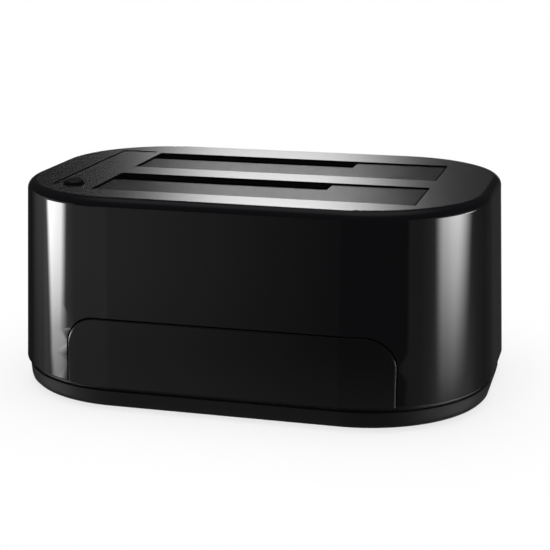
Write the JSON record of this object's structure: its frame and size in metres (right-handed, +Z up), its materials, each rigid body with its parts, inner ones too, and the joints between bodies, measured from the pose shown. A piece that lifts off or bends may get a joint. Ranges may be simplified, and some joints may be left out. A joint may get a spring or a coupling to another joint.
{
  "type": "hard drive docking station",
  "caption": "Upright desktop dock for bare hard drives: rounded gloss shell, hinged slot flaps with notches, top push button, rear power rocker and ports.",
  "frame": {"origin": "middle of the footprint, on the surface that the feet stand on", "axes": "+X to the right along the slots, +Y to the back where the ports are, +Z up"},
  "size_m": [0.1582, 0.106, 0.0694],
  "materials": {
    "shell_gloss": "gloss",
    "panel_gloss": "gloss",
    "base_satin": "satin",
    "flap_satin": "satin",
    "strip_satin": "satin",
    "button_gloss": "gloss",
    "frame_black": "matte",
    "rubber_black": "matte",
    "screw_steel": "satin",
    "pin_steel": "polished",
    "spring_steel": "satin",
    "board_green": "satin",
    "chip_black": "matte",
    "crystal_can": "satin",
    "capacitor_can": "satin",
    "ferrite": "matte",
    "connector_black": "satin",
    "contact_gold": "polished",
    "port_metal": "satin",
    "port_core": "satin",
    "ribbon_grey": "satin",
    "socket_white": "satin",
    "light_clear": "gloss",
    "pipe_clear": "gloss",
    "rocker_black": "gloss"
  },
  "bodies": {
    "housing": {"upper_shell": "shell_gloss", "base_tray": "base_satin", "front_panel": "panel_gloss", "indicator_strip": "strip_satin", "button_switch_body": "connector_black", "button_board": "board_green", "button_board_screws": "screw_steel", "status_lights": "light_clear", "light_pipes": "pipe_clear", "ribbon_cable": "ribbon_grey", "ribbon_socket_upper": "socket_white", "ribbon_socket_lower": "socket_white", "main_board": "board_green", "main_board_screws": "screw_steel", "bridge_chip": "chip_black", "memory_chip": "chip_black", "clock_crystal": "crystal_can", "power_inductor": "ferrite", "board_capacitors": "capacitor_can", "usb_shield": "port_metal", "usb_insert": "port_core", "power_inlet_body": "connector_black", "power_inlet_pin": "pin_steel", "power_switch_housing": "connector_black", "power_switch_terminals": "contact_gold", "case_screws": "screw_steel", "frame_screws": "screw_steel", "foot_left_front": "rubber_black", "foot_left_rear": "rubber_black", "foot_right_front": "rubber_black", "foot_right_rear": "rubber_black", "front_bay_frame": "frame_black", "front_flap_pin": "pin_steel", "front_flap_spring": "spring_steel", "front_drive_receptacle": "connector_black", "front_drive_contacts": "contact_gold", "rear_bay_frame": "frame_black", "rear_flap_pin": "pin_steel", "rear_flap_spring": "spring_steel", "rear_drive_receptacle": "connector_black", "rear_drive_contacts": "contact_gold"},
    "front_flap": {"front_flap": "flap_satin"},
    "rear_flap": {"rear_flap": "flap_satin"},
    "button": {"clone_button": "button_gloss", "button_switch_plunger": "socket_white"},
    "rocker": {"power_switch_rocker": "rocker_black"}
  },
  "joints": [
    {"name": "front_flap_hinge", "type": "hinge", "parent": "housing", "child": "front_flap", "pos_m": [0, -0.04, 0.0641], "axis": [-1, 0, 0], "range_deg": [0, 90], "stiffness_Nm_per_rad": 0.004, "springref_deg": -45.84, "deforming": ["front_flap_spring"]},
    {"name": "rear_flap_hinge", "type": "hinge", "parent": "housing", "child": "rear_flap", "pos_m": [0, 0.0004, 0.0641], "axis": [-1, 0, 0], "range_deg": [0, 90], "stiffness_Nm_per_rad": 0.004, "springref_deg": -45.84, "deforming": ["rear_flap_spring"]},
    {"name": "button_press", "type": "slide", "parent": "housing", "child": "button", "axis": [0, 0, -1], "range_m": [0, 0.0005], "stiffness_N_per_m": 2000, "springref_m": -0.0005},
    {"name": "power_rocker_tilt", "type": "hinge", "parent": "housing", "child": "rocker", "pos_m": [-0.026, 0.0492, 0.0206], "axis": [0, 0, 1], "range_deg": [0, 18]}
  ]
}
